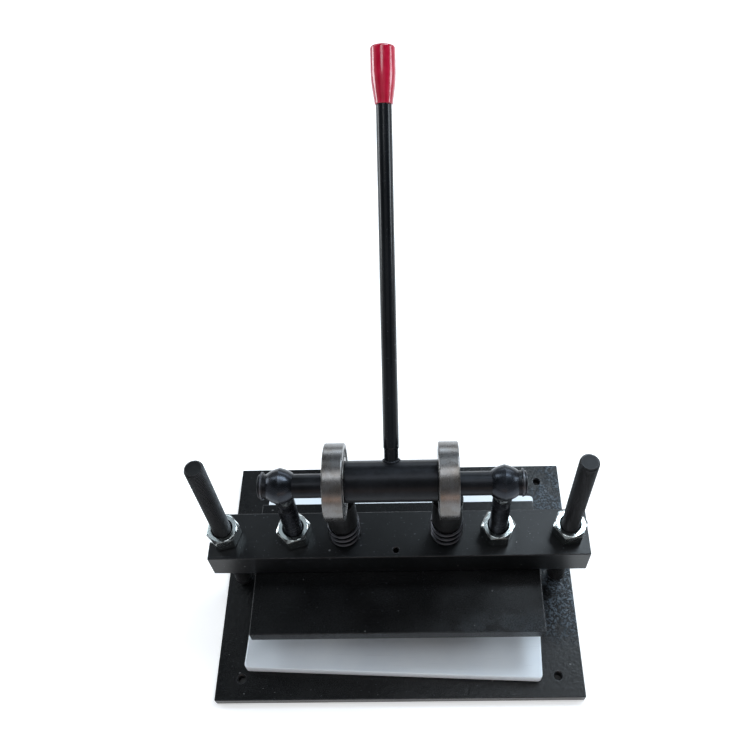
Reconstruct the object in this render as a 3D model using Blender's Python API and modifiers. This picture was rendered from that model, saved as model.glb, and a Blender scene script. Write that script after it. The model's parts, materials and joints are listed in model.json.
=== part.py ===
"""Hand-lever die-cutting press: base, two threaded columns, crossbeam, eccentric shaft and spring-lifted platen.

Metres, +Z up. The origin is the centre of the base plate's underside, +X is to the operator's right
and +Y points away from the operator. Threads are plain cylinders at their major diameter.
"""
import math

import bmesh
import bpy
from mathutils import Matrix, Vector

MM = 0.001
GAP = 0.3 * MM                      # clearance kept between pieces that touch on the real object
SIDES = (("left", -1), ("right", 1))
ROUND = 28                          # sides of large turned pieces
SMALL_ROUND = 18                    # sides of threaded rods, nuts and bores

# ---- driving dimensions -----------------------------------------------------
BASE_SIZE = Vector((335, 237, 10)) * MM
BASE_HOLE_X, BASE_HOLE_Y, BASE_HOLE_R = 144.5 * MM, 99.5 * MM, 3.5 * MM

BOARD_SIZE = Vector((270, 182, 12)) * MM
BOARD_X, BOARD_Y = -2 * MM, -8 * MM
BOARD_TURN = math.radians(-2.6)     # the loose board lies slightly askew on the base

COLUMN_X = 153.3 * MM               # columns, beam and shaft share the plane y = 0
COLUMN_TOP = 224.5 * MM
THREAD_R = 8 * MM                   # M16 rods, eye bolts and posts
NUT_FLATS, NUT_HEIGHT = 27 * MM, 16 * MM
UNDER_NUT_HEIGHT = 8 * MM

BEAM_SIZE = Vector((338, 44, 32)) * MM
BEAM_X = 2 * MM                     # the beam's right end stands out a little more than its left
BEAM_BOTTOM = 69 * MM
BEAM_TOP = BEAM_BOTTOM + BEAM_SIZE.z
BEAM_HOLE_Y, BEAM_HOLE_R, BEAM_HOLE_DEPTH = -15.4 * MM, 2.5 * MM, 12 * MM

PLATEN_SIZE = Vector((259, 126, 13.5)) * MM
PLATEN_Y = -15.7 * MM              # the platen reaches further forward than back

SHAFT_Z = 193 * MM                  # axis of the thin ends, which turn in the eye bolts
THROW = 6 * MM                      # eccentric offset, straight up at rest
CRANK_Z = SHAFT_Z + THROW           # axis of the thick middle and of both bearings
THIN_R, THICK_R, JOURNAL_R = 9.75 * MM, 16.75 * MM, 14.6 * MM
SHAFT_END_X = 107.5 * MM

EYE_X = 90.2 * MM
EYE_R, EYE_HALF_WIDTH = 15 * MM, 10.5 * MM
EYE_BORE_R = THIN_R + GAP
RING_X, RING_HALF_WIDTH, RING_R = 104.5 * MM, 0.6 * MM, 12 * MM

BEARING_X = 45.2 * MM               # 6206 ball bearing: 30 x 62 x 16, nine 9.525 mm balls
BEARING_R, BEARING_BORE_R, BEARING_HALF_WIDTH = 31 * MM, 15 * MM, 8 * MM
BALL_COUNT, BALL_R, PITCH_R = 9, 4.76 * MM, 23 * MM
OUTER_LAND_R, INNER_LAND_R = 26.4 * MM, 19.8 * MM

POST_HEAD_R = 13 * MM
POST_HEAD_TOP = CRANK_Z - BEARING_R - GAP
POST_HEAD_BOTTOM = BEAM_TOP + 28.4 * MM
SPRING_WIRE_R, SPRING_MEAN_R, SPRING_TURNS = 1.6 * MM, 12.7 * MM, 3.5

LEVER_TILT = math.radians(50.3)     # back from vertical, at rest
LEVER_NECK_R, LEVER_R = 5.75 * MM, 6.25 * MM
LEVER_NECK_END = 26 * MM
KNOB_TOP, KNOB_LENGTH = 338.7 * MM, 44.6 * MM
KNOB_R, KNOB_FOOT_R = 10 * MM, 7.2 * MM
SPIGOT_R, SPIGOT_LENGTH = 4 * MM, 20 * MM


# ---- scene and materials ----------------------------------------------------
def clear_scene():
    for obj in list(bpy.data.objects):
        bpy.data.objects.remove(obj, do_unlink=True)


def new_collection(name):
    collection = bpy.data.collections.new(name)
    bpy.context.scene.collection.children.link(collection)
    return collection


def new_material(name, color, roughness, metallic):
    material = bpy.data.materials.new(name)
    material.use_nodes = True
    shader = material.node_tree.nodes["Principled BSDF"]
    shader.inputs["Base Color"].default_value = (*color, 1.0)
    shader.inputs["Roughness"].default_value = roughness
    shader.inputs["Metallic"].default_value = metallic
    material.diffuse_color = (*color, 1.0)
    return material


clear_scene()
PARTS = new_collection("die_cutting_press")
CUTTERS = new_collection("cutters")
BLACK_PAINT = ("black_paint", (0.012, 0.013, 0.016), 0.42, 0.0)
BLACK_OXIDE = ("black_oxide", (0.02, 0.021, 0.024), 0.38, 0.85)
ZINC = ("zinc_plate", (0.62, 0.65, 0.67), 0.28, 1.0)
BEARING_STEEL = ("bearing_steel", (0.6, 0.58, 0.56), 0.18, 1.0)
SEAL_RUBBER = ("seal_rubber", (0.015, 0.015, 0.015), 0.6, 0.0)
CAGE_STEEL = ("cage_steel", (0.45, 0.43, 0.4), 0.35, 1.0)
BOARD_WHITE = ("white_plastic", (0.82, 0.85, 0.9), 0.35, 0.0)
KNOB_RED = ("red_plastic", (0.43, 0.004, 0.03), 0.22, 0.0)


# ---- modelling helpers ------------------------------------------------------
def add_object(name, mesh, finish=None):
    """Link a new object: a part with its own material, or a cutter when no finish is given."""
    obj = bpy.data.objects.new(name, mesh)
    if finish:
        PARTS.objects.link(obj)
        mesh.materials.append(new_material(name + "_" + finish[0], *finish[1:]))
        mesh.shade_smooth()
        mesh.set_sharp_from_angle(angle=math.radians(35))
    else:
        CUTTERS.objects.link(obj)
        obj.hide_render = True
        obj.display_type = "WIRE"
    return obj


def mesh_from(name, build):
    """A mesh made by running build on an empty bmesh."""
    bm = bmesh.new()
    build(bm)
    mesh = bpy.data.meshes.new(name)
    bm.to_mesh(mesh)
    bm.free()
    return mesh


def box(name, size, centre, finish=None, bevel=0.0):
    scale = Matrix.Diagonal((*size, 1.0))
    mesh = mesh_from(name, lambda bm: bmesh.ops.create_cube(bm, size=1.0, matrix=scale))
    obj = add_object(name, mesh, finish)
    obj.location = centre
    if bevel:
        add_bevel(obj, bevel)
    return obj


def add_bevel(obj, width):
    bevel = obj.modifiers.new("rounded edges", "BEVEL")
    bevel.width = width
    bevel.segments = 2
    bevel.limit_method = "ANGLE"


def cylinder(name, radius, length, centre, axis="Z", sides=SMALL_ROUND, finish=None):
    def build(bm):
        bmesh.ops.create_cone(bm, cap_ends=True, segments=sides, radius1=radius, radius2=radius, depth=length)
    obj = add_object(name, mesh_from(name, build), finish)
    obj.location = centre
    obj.rotation_euler = {"X": (0, math.pi / 2, 0), "Y": (math.pi / 2, 0, 0), "Z": (0, 0, 0)}[axis]
    return obj


def turned(name, outline, centre, axis="Z", closed=False, steps=ROUND, finish=None):
    """Turn (radius, height) points about an axis. The outline runs down the outer side, top to bottom."""
    mesh = bpy.data.meshes.new(name)
    points = [(radius, 0, height) for radius, height in outline]
    edges = [(i, i + 1) for i in range(len(points) - 1)]
    if closed:
        edges.append((len(points) - 1, 0))
    mesh.from_pydata(points, edges, [])
    obj = add_object(name, mesh, finish)
    screw = obj.modifiers.new("turned", "SCREW")
    screw.steps = steps
    screw.render_steps = steps
    screw.use_merge_vertices = True
    screw.merge_threshold = 0.00001
    obj.location = centre
    obj.rotation_euler = (0, math.pi / 2, 0) if axis == "X" else (0, 0, 0)
    return obj


def apply_boolean(obj, other, operation="DIFFERENCE"):
    boolean = obj.modifiers.new(operation.lower() + " " + other.name, "BOOLEAN")
    boolean.operation = operation
    boolean.solver = "EXACT"
    boolean.object = other


def bore(obj, radius, centre, length, axis="Z", sides=SMALL_ROUND):
    label = "{}_bore_{}".format(obj.name, len(obj.modifiers))
    apply_boolean(obj, cylinder(label, radius, length, centre, axis, sides))


def pivot(name, location, parent=None):
    """An empty on a joint's axis, which carries the pieces that move with that joint."""
    empty = bpy.data.objects.new(name, None)
    empty.empty_display_size = 20 * MM
    PARTS.objects.link(empty)
    empty.location = location
    if parent:
        keep_place(empty, parent)
    return empty


def keep_place(child, parent):
    bpy.context.view_layer.update()
    child.parent = parent
    child.matrix_parent_inverse = parent.matrix_world.inverted()


def arc(centre_r, centre_h, radius, start, end, count):
    """Points (radius, height) along a circular arc, angles in degrees from the +radius direction."""
    points = []
    for i in range(count + 1):
        angle = math.radians(start + (end - start) * i / count)
        points.append((centre_r + radius * math.cos(angle), centre_h + radius * math.sin(angle)))
    return points


# ---- base, board and platen -------------------------------------------------
def base_plate():
    plate = box("base_plate", BASE_SIZE, (0, 0, BASE_SIZE.z / 2), BLACK_PAINT, 0.8 * MM)
    for x in (-BASE_HOLE_X, BASE_HOLE_X):
        for y in (-BASE_HOLE_Y, BASE_HOLE_Y):
            bore(plate, BASE_HOLE_R, (x, y, 0), 3 * BASE_SIZE.z, sides=16)
    for x in (-COLUMN_X, COLUMN_X):
        bore(plate, THREAD_R + GAP, (x, 0, 0), 3 * BASE_SIZE.z)


def cutting_board(carrier):
    low = BASE_SIZE.z + GAP
    board = box("cutting_board", BOARD_SIZE, (BOARD_X, BOARD_Y, low + BOARD_SIZE.z / 2), BOARD_WHITE, 1.5 * MM)
    board.rotation_euler.z = BOARD_TURN
    keep_place(board, carrier)


def platen(carrier):
    top = BEAM_BOTTOM - GAP
    plate = box("platen", PLATEN_SIZE, (0, PLATEN_Y, top - PLATEN_SIZE.z / 2), BLACK_PAINT, 0.8 * MM)
    for _, side in SIDES:
        bore(plate, THREAD_R + GAP, (side * BEARING_X, 0, top), 4 * PLATEN_SIZE.z)
    keep_place(plate, carrier)


def guide_post(label, side, carrier):
    """Headed post: screwed into the platen, guided by the beam, pushed down by the bearing."""
    foot = BEAM_BOTTOM - GAP - PLATEN_SIZE.z + 1 * MM
    chamfer = 1.2 * MM
    outline = [(0, POST_HEAD_TOP),
               (POST_HEAD_R - chamfer, POST_HEAD_TOP),
               (POST_HEAD_R, POST_HEAD_TOP - chamfer),
               (POST_HEAD_R, POST_HEAD_BOTTOM),
               (THREAD_R, POST_HEAD_BOTTOM),
               (THREAD_R, foot + chamfer),
               (THREAD_R - chamfer, foot),
               (0, foot)]
    post = turned("guide_post_" + label, outline, (side * BEARING_X, 0, 0), steps=SMALL_ROUND,
                  finish=BLACK_OXIDE)
    keep_place(post, carrier)


def return_spring(label, side, carrier):
    """Open coil standing on the beam under the post's head."""
    low = BEAM_TOP + GAP + SPRING_WIRE_R
    rise = POST_HEAD_BOTTOM - GAP - SPRING_WIRE_R - low
    points_per_turn = 16
    count = round(SPRING_TURNS * points_per_turn)
    curve = bpy.data.curves.new("return_spring_" + label, "CURVE")
    curve.dimensions = "3D"
    curve.bevel_depth = SPRING_WIRE_R
    curve.bevel_resolution = 2
    curve.use_fill_caps = True
    spline = curve.splines.new("POLY")
    spline.points.add(count)
    for i, point in enumerate(spline.points):
        angle = 2 * math.pi * i / points_per_turn
        along = i / count
        point.co = (SPRING_MEAN_R * math.cos(angle), SPRING_MEAN_R * math.sin(angle), rise * along, 1)
    spring = bpy.data.objects.new("return_spring_" + label, curve)
    curve.materials.append(new_material(spring.name + "_steel", *BLACK_OXIDE[1:]))
    PARTS.objects.link(spring)
    spring.location = (side * BEARING_X, 0, low)
    keep_place(spring, carrier)


# ---- columns, beam and nuts -------------------------------------------------
def hex_nut(name, x, low, height, turn_degrees, carrier):
    """Hexagon nut with both ends chamfered, around a threaded rod at x."""
    corner_r = NUT_FLATS / math.sqrt(3)
    face_r = NUT_FLATS / 2 * 0.97
    drop = (corner_r + GAP - face_r) * math.tan(math.radians(30))
    centre = (x, 0, low + height / 2)
    nut = cylinder(name, corner_r, height, centre, sides=6, finish=ZINC)
    nut.rotation_euler.z = math.radians(turn_degrees)
    half = height / 2 + 0.01 * MM
    outline = [(0, half), (face_r, half), (corner_r + GAP, half - drop),
               (corner_r + GAP, drop - half), (face_r, -half), (0, -half)]
    apply_boolean(nut, turned(name + "_chamfer", outline, centre, steps=SMALL_ROUND), "INTERSECT")
    bore(nut, THREAD_R + GAP, centre, 2 * height)
    keep_place(nut, carrier)


def column(label, side):
    chamfer = 1.5 * MM
    outline = [(0, COLUMN_TOP),
               (THREAD_R - chamfer, COLUMN_TOP),
               (THREAD_R, COLUMN_TOP - chamfer),
               (THREAD_R, chamfer),
               (THREAD_R - chamfer, 0.5 * MM),
               (0, 0.5 * MM)]
    turned("column_" + label, outline, (side * COLUMN_X, 0, 0), steps=SMALL_ROUND, finish=BLACK_OXIDE)


def crossbeam(carrier):
    beam = box("crossbeam", BEAM_SIZE, (BEAM_X, 0, BEAM_BOTTOM + BEAM_SIZE.z / 2), BLACK_PAINT, 0.8 * MM)
    for _, side in SIDES:
        for x in (COLUMN_X, EYE_X, BEARING_X):
            bore(beam, THREAD_R + GAP, (side * x, 0, BEAM_BOTTOM + BEAM_SIZE.z / 2), 2 * BEAM_SIZE.z)
    bore(beam, BEAM_HOLE_R, (0, BEAM_HOLE_Y, BEAM_TOP), 2 * BEAM_HOLE_DEPTH, sides=16)
    keep_place(beam, carrier)


def eye_bolt(label, side, carrier):
    """Ball-headed eye bolt with flat cheeks, screwed into the beam."""
    rim = math.degrees(math.asin(EYE_HALF_WIDTH / EYE_R))
    outline = arc(0, 0, EYE_R, rim, -rim, 6)
    outline += [(EYE_BORE_R, -EYE_HALF_WIDTH), (EYE_BORE_R, EYE_HALF_WIDTH)]
    centre = Vector((side * EYE_X, 0, SHAFT_Z))
    eye = turned("eye_bolt_" + label, outline, centre, "X", closed=True, finish=BLACK_OXIDE)
    foot = BEAM_BOTTOM + 2 * MM - SHAFT_Z
    shank = [(0, -11.3 * MM), (9.4 * MM, -11.3 * MM), (8.5 * MM, -15 * MM), (THREAD_R, -21 * MM),
             (THREAD_R, foot + 1 * MM), (THREAD_R - 1 * MM, foot), (0, foot)]
    shank_body = turned("eye_bolt_{}_shank".format(label), shank, centre, steps=SMALL_ROUND)
    apply_boolean(eye, shank_body, "UNION")
    keep_place(eye, carrier)


# ---- eccentric shaft, bearings and lever ------------------------------------
def eccentric_shaft(carrier):
    """Thick middle and bearing journals on the crank axis, thin ends on the pivot axis."""
    shoulder = BEARING_X - BEARING_HALF_WIDTH - GAP
    journal_end = BEARING_X + BEARING_HALF_WIDTH + 0.7 * MM
    chamfer = 1 * MM
    outline = [(0, journal_end), (JOURNAL_R - chamfer, journal_end), (JOURNAL_R, journal_end - chamfer),
               (JOURNAL_R, shoulder), (THICK_R - chamfer / 2, shoulder), (THICK_R, shoulder - chamfer / 2)]
    outline += [(radius, -height) for radius, height in reversed(outline)]
    shaft = turned("eccentric_shaft", outline, (0, 0, CRANK_Z), "X", finish=BLACK_OXIDE)
    groove = RING_HALF_WIDTH + GAP
    groove_r = THIN_R - 0.95 * MM
    root, core_r = journal_end - 0.4 * MM, THIN_R - 2 * MM
    thin = [(0, SHAFT_END_X), (THIN_R - chamfer, SHAFT_END_X), (THIN_R, SHAFT_END_X - chamfer),
            (THIN_R, RING_X + groove), (groove_r, RING_X + groove),
            (groove_r, RING_X - groove), (THIN_R, RING_X - groove),
            (THIN_R, root), (core_r, root)]
    thin += [(radius, -height) for radius, height in reversed(thin)]
    thin_body = turned("eccentric_shaft_ends", thin, (0, 0, SHAFT_Z), "X", steps=SMALL_ROUND)
    apply_boolean(shaft, thin_body, "UNION")
    socket_bottom, socket_top = 4.5 * MM, 40 * MM
    socket = cylinder("lever_socket", LEVER_NECK_R + GAP, socket_top - socket_bottom,
                      lever_point((socket_bottom + socket_top) / 2))
    socket.rotation_euler.x = -LEVER_TILT
    apply_boolean(shaft, socket)
    keep_place(shaft, carrier)


def retaining_ring(label, side, carrier):
    """Open ring in the groove near the shaft's end, its mouth at the bottom."""
    inner_r = THIN_R - 0.6 * MM
    outline = [(RING_R, RING_HALF_WIDTH), (RING_R, -RING_HALF_WIDTH),
               (inner_r, -RING_HALF_WIDTH), (inner_r, RING_HALF_WIDTH)]
    centre = Vector((side * RING_X, 0, SHAFT_Z))
    ring = turned("retaining_ring_" + label, outline, centre, "X", closed=True, steps=SMALL_ROUND, finish=ZINC)
    mouth = box("{}_mouth".format(ring.name), (5 * MM, 4 * MM, 2 * RING_R), centre - Vector((0, 0, RING_R)))
    apply_boolean(ring, mouth)
    keep_place(ring, carrier)


def race_outline(face_r, land_r, groove_r, outer):
    """Bearing ring section: a chamfered mounting face on one side and the ball groove on the other."""
    half, chamfer = BEARING_HALF_WIDTH, 1 * MM
    reach = math.degrees(math.acos(abs(land_r - PITCH_R) / groove_r))
    if outer:
        groove = arc(PITCH_R, 0, groove_r, -reach, reach, 4)
        return [(face_r - chamfer, half), (face_r, half - chamfer), (face_r, chamfer - half),
                (face_r - chamfer, -half), (land_r, -half)] + groove + [(land_r, half)]
    groove = arc(PITCH_R, 0, groove_r, 180 - reach, 180 + reach, 4)
    return [(land_r, half)] + groove + [(land_r, -half), (face_r + chamfer, -half),
            (face_r, chamfer - half), (face_r, half - chamfer), (face_r + chamfer, half)]


def ball_bearing(label, side, shaft_pivot, outer_pivot, cage_pivot):
    """Sealed deep-groove ball bearing, pressed on the shaft's journal."""
    centre = Vector((side * BEARING_X, 0, CRANK_Z))
    prefix = "bearing_{}_".format(label)
    outer = turned(prefix + "outer_ring", race_outline(BEARING_R, OUTER_LAND_R, 5.4 * MM, True), centre, "X",
                   closed=True, finish=BEARING_STEEL)
    keep_place(outer, outer_pivot)
    inner = turned(prefix + "inner_ring", race_outline(BEARING_BORE_R, INNER_LAND_R, 5.1 * MM, False), centre,
                   "X", closed=True, finish=BEARING_STEEL)
    keep_place(inner, shaft_pivot)
    seal_r, seal_bore_r, seal_half = OUTER_LAND_R - 0.45 * MM, INNER_LAND_R + 0.5 * MM, 0.4 * MM
    for face, direction in (("inner", -side), ("outer", side)):
        section = [(seal_r, seal_half), (seal_r, -seal_half), (seal_bore_r, -seal_half), (seal_bore_r, seal_half)]
        place = centre + Vector((direction * (BEARING_HALF_WIDTH - 0.8 * MM), 0, 0))
        seal = turned(prefix + face + "_seal", section, place, "X", closed=True, finish=SEAL_RUBBER)
        keep_place(seal, outer_pivot)
    ball_cage(prefix, centre, cage_pivot)


def ball_cage(prefix, centre, carrier):
    half, outer_r, inner_r = 6.4 * MM, 24.4 * MM, 21.6 * MM
    section = [(outer_r, half), (outer_r, -half), (inner_r, -half), (inner_r, half)]
    cage = turned(prefix + "cage", section, centre, "X", closed=True, steps=27, finish=CAGE_STEEL)
    ball_mesh = mesh_from(prefix + "ball", lambda bm: bmesh.ops.create_icosphere(bm, subdivisions=2, radius=BALL_R))
    ball_mesh.materials.append(new_material(prefix + "ball_steel", *BEARING_STEEL[1:]))
    ball_mesh.shade_smooth()
    for i in range(BALL_COUNT):
        angle = 2 * math.pi * (i + 0.5) / BALL_COUNT
        outward = Vector((0, math.sin(angle), math.cos(angle)))
        pocket = cylinder("{}pocket_{}".format(prefix, i + 1), 5.25 * MM, 8 * MM, centre + outward * PITCH_R, sides=10)
        pocket.rotation_euler.x = -angle
        apply_boolean(cage, pocket)
        ball = bpy.data.objects.new("{}ball_{}".format(prefix, i + 1), ball_mesh)
        PARTS.objects.link(ball)
        ball.location = centre + outward * PITCH_R
        keep_place(ball, carrier)
    keep_place(cage, carrier)


def lever_point(distance):
    """World position on the lever's centre line, at a distance from the crank axis."""
    return Vector((0, distance * math.sin(LEVER_TILT), CRANK_Z + distance * math.cos(LEVER_TILT)))


def lever_rod(carrier):
    top = KNOB_TOP - KNOB_LENGTH - GAP
    chamfer = 0.6 * MM
    outline = [(0, top + SPIGOT_LENGTH),
               (SPIGOT_R - chamfer, top + SPIGOT_LENGTH),
               (SPIGOT_R, top + SPIGOT_LENGTH - chamfer),
               (SPIGOT_R, top),
               (LEVER_R - chamfer, top),
               (LEVER_R, top - chamfer),
               (LEVER_R, LEVER_NECK_END + chamfer),
               (LEVER_NECK_R, LEVER_NECK_END),
               (LEVER_NECK_R, 5 * MM),
               (0, 5 * MM)]
    rod = turned("lever_rod", outline, lever_point(0), steps=SMALL_ROUND, finish=BLACK_OXIDE)
    rod.rotation_euler.x = -LEVER_TILT
    keep_place(rod, carrier)


def lever_knob(carrier):
    """Tapered grip with a domed end, blind-bored for the rod's spigot."""
    foot = KNOB_TOP - KNOB_LENGTH
    shoulder = foot + 0.42 * KNOB_LENGTH
    dome = 3.5 * MM
    bore_r, bore_top = SPIGOT_R + GAP, foot + SPIGOT_LENGTH + 1 * MM
    outline = [(0, KNOB_TOP)]
    for i in range(1, 6):
        angle = math.radians(90 - 18 * i)
        outline.append((KNOB_R - dome + dome * math.cos(angle), KNOB_TOP - dome + dome * math.sin(angle)))
    outline += [(KNOB_R, shoulder), (KNOB_FOOT_R, foot + 0.5 * MM), (KNOB_FOOT_R - 0.5 * MM, foot),
                (bore_r, foot), (bore_r, bore_top), (0, bore_top)]
    knob = turned("lever_knob", outline, lever_point(0), finish=KNOB_RED)
    knob.rotation_euler.x = -LEVER_TILT
    keep_place(knob, carrier)


# ---- assembly ---------------------------------------------------------------
def build_press():
    board_pivot = pivot("board_slide", (BOARD_X, BOARD_Y, BASE_SIZE.z))
    beam_pivot = pivot("beam_height", (0, 0, BEAM_BOTTOM))
    platen_pivot = pivot("platen_slide", (0, 0, BEAM_BOTTOM), beam_pivot)
    shaft_pivot = pivot("lever_pivot", (0, 0, SHAFT_Z), beam_pivot)
    base_plate()
    cutting_board(board_pivot)
    crossbeam(beam_pivot)
    platen(platen_pivot)
    eccentric_shaft(shaft_pivot)
    lever_rod(shaft_pivot)
    lever_knob(shaft_pivot)
    nut_turns = {"left": (44, 46), "right": (36, 32)}
    for label, side in SIDES:
        column_turn, eye_turn = nut_turns[label]
        column(label, side)
        hex_nut("beam_under_nut_" + label, side * COLUMN_X, BEAM_BOTTOM - GAP - UNDER_NUT_HEIGHT, UNDER_NUT_HEIGHT,
                column_turn, beam_pivot)
        hex_nut("beam_top_nut_" + label, side * COLUMN_X, BEAM_TOP + GAP, NUT_HEIGHT, column_turn, beam_pivot)
        eye_bolt(label, side, beam_pivot)
        hex_nut("eye_bolt_nut_" + label, side * EYE_X, BEAM_TOP + GAP, NUT_HEIGHT, eye_turn, beam_pivot)
        retaining_ring(label, side, shaft_pivot)
        crank = (side * BEARING_X, 0, CRANK_Z)
        outer_pivot = pivot("bearing_spin_" + label, crank, shaft_pivot)
        cage_pivot = pivot("cage_spin_" + label, crank, shaft_pivot)
        ball_bearing(label, side, shaft_pivot, outer_pivot, cage_pivot)
        guide_post(label, side, platen_pivot)
        return_spring(label, side, beam_pivot)


build_press()
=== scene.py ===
"""Visual model of the hand-lever die-cutting press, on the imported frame."""
import json
import math

import bmesh
import bpy
from mathutils import Matrix, Vector


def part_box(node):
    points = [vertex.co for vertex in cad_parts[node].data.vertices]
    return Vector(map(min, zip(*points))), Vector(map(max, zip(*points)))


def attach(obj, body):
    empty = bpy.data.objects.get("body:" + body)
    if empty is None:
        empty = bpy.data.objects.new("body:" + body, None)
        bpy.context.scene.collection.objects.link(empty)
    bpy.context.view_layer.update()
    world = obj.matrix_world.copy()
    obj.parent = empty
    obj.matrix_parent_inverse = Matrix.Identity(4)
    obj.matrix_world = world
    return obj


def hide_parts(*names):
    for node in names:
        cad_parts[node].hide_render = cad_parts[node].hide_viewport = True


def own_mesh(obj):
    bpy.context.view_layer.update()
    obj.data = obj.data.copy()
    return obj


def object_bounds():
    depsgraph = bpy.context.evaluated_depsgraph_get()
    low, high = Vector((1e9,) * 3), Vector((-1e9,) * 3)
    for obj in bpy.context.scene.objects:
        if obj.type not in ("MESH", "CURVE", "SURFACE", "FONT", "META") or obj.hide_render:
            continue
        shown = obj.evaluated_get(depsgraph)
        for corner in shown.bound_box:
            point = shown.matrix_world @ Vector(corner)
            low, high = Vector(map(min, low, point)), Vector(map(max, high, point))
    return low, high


MM = 0.001
MICRON = 0.001 * MM
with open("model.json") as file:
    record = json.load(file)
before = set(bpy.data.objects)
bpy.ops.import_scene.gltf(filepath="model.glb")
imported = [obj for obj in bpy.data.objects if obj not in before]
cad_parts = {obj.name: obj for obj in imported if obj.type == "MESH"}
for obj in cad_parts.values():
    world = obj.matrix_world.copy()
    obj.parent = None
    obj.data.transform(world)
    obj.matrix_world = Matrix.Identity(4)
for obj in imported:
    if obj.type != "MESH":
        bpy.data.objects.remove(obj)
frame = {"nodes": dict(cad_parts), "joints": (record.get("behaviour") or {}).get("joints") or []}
CAD_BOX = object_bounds()
JOINTS = {joint["name"]: joint for joint in frame["joints"]}
SIDES = (("left", -1), ("right", 1))

# ---- the frame's measures ---------------------------------------------------
BASE_LO, BASE_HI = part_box("base_plate")
BEAM_LO, BEAM_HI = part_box("crossbeam")
PLATEN_LO, PLATEN_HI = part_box("platen")
SHAFT_END_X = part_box("eccentric_shaft")[1][0]
SHAFT_Z = JOINTS["lever_pivot"]["pos_m"][2]
CRANK_Z = JOINTS["bearing_right_spin"]["pos_m"][2]
BEARING_X = JOINTS["bearing_right_spin"]["pos_m"][0]
LEVER_TILT = math.radians(50.3)
KNOB_TOP, KNOB_LENGTH = 338.7 * MM, 44.6 * MM
THREAD_R, PITCH, THREAD_DEPTH = 8 * MM, 2 * MM, 1.2 * MM
CLEAR_R = THREAD_R + 0.3 * MM
NUT_FLATS = 27 * MM
HOLE_X, HOLE_Y, HOLE_R = 144.5 * MM, 99.5 * MM, 3.5 * MM
SMALL_HOLE_Y = -15.4 * MM
WIRE_R = 1.6 * MM
BALL_COUNT = 9

# ---- tones that dirt, wear and a painted sheen bring to the black finishes ---
PAINT_BLACK = (0.0028, 0.003, 0.0034)
DUST_GREY, FLECK_WHITE = (0.2, 0.22, 0.25), (0.6, 0.62, 0.62)
# the blue-grey of the grit regions is rough grain and also a painted sheen, the light's reflection
GRIT_SHEEN_GREY, SCRATCH_GREY = (0.075, 0.095, 0.115), (0.11, 0.115, 0.125)
RUBBED_PAINT, RUBBED_STEEL = (0.34, 0.35, 0.37), (0.42, 0.43, 0.45)


def middle(node):
    lo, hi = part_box(node)
    return (Vector(lo) + Vector(hi)) / 2


def in_mm(*points):
    """Points given in millimetres, in metres."""
    return [tuple(value * MM for value in point) for point in points]


def times(tone, factor):
    return tuple(factor * channel for channel in tone)


# ---- materials --------------------------------------------------------------
class Graph:
    """A material and short calls that add nodes to it."""

    def __init__(self, name):
        self.material = bpy.data.materials.new(name)
        self.material.use_nodes = True
        self.tree = self.material.node_tree
        self.shader = self.tree.nodes["Principled BSDF"]
        self.where = self.add("ShaderNodeTexCoord").outputs["Object"]

    def add(self, kind, **settings):
        node = self.tree.nodes.new(kind)
        for key, value in settings.items():
            setattr(node, key, value)
        return node

    def put(self, socket, value):
        """Link a node's output to the socket, or set the socket's own value."""
        if isinstance(value, bpy.types.NodeSocket):
            self.tree.links.new(value, socket)
        elif isinstance(value, tuple) and len(value) == 3 and socket.type == "RGBA":
            socket.default_value = (*value, 1)
        else:
            socket.default_value = value

    def set(self, **values):
        for key, value in values.items():
            self.put(self.shader.inputs[key.replace("_", " ")], value)

    def math(self, operation, a, b=0.0):
        node = self.add("ShaderNodeMath", operation=operation)
        self.put(node.inputs[0], a)
        self.put(node.inputs[1], b)
        return node.outputs[0]

    def spread(self, value, low, high, to_low=0.0, to_high=1.0):
        node = self.add("ShaderNodeMapRange", interpolation_type="SMOOTHSTEP")
        for socket, item in zip(node.inputs, (value, low, high, to_low, to_high)):
            self.put(socket, item)
        return node.outputs[0]

    def scaled(self, vector, scale):
        node = self.add("ShaderNodeVectorMath", operation="MULTIPLY")
        self.put(node.inputs[0], vector)
        self.put(node.inputs[1], scale)
        return node.outputs[0]

    def noise(self, scale, detail=3.0, rough=0.5, vector=None):
        node = self.add("ShaderNodeTexNoise")
        self.put(node.inputs["Vector"], self.where if vector is None else vector)
        self.put(node.inputs["Scale"], scale)
        self.put(node.inputs["Detail"], detail)
        self.put(node.inputs["Roughness"], rough)
        return node.outputs[0]

    def mix(self, factor, a, b):
        node = self.add("ShaderNodeMix", data_type="RGBA")
        self.put(node.inputs[0], factor)
        self.put(node.inputs[6], a)
        self.put(node.inputs[7], b)
        return node.outputs[2]

    def bump(self, height, distance, normal=None):
        node = self.add("ShaderNodeBump")
        node.inputs["Distance"].default_value = distance
        self.put(node.inputs["Height"], height)
        if normal is not None:
            self.put(node.inputs["Normal"], normal)
        return node.outputs[0]

    def edge(self, radius, low=0.004, high=0.1):
        """1 on sharp outer edges within the radius, fading to 0."""
        bevel = self.add("ShaderNodeBevel", samples=6)
        bevel.inputs["Radius"].default_value = radius
        dot = self.add("ShaderNodeVectorMath", operation="DOT_PRODUCT")
        self.put(dot.inputs[0], bevel.outputs[0])
        self.put(dot.inputs[1], self.add("ShaderNodeNewGeometry").outputs["Normal"])
        return self.spread(dot.outputs["Value"], 1 - high, 1 - low, 1.0, 0.0)

    def rings(self, scale):
        """Fine lines round a turned piece's own axis, from its local coordinates."""
        local = self.add("ShaderNodeAttribute", attribute_name="local").outputs["Vector"]
        part = self.add("ShaderNodeSeparateXYZ")
        self.put(part.inputs[0], local)
        across = self.math("ADD", self.math("MULTIPLY", part.outputs[0], part.outputs[0]),
                           self.math("MULTIPLY", part.outputs[1], part.outputs[1]))
        point = self.add("ShaderNodeCombineXYZ")
        self.put(point.inputs[0], self.math("SQRT", across))
        self.put(point.inputs[1], part.outputs[2])
        return self.noise(scale, 4, 0.65, point.outputs[0])


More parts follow.
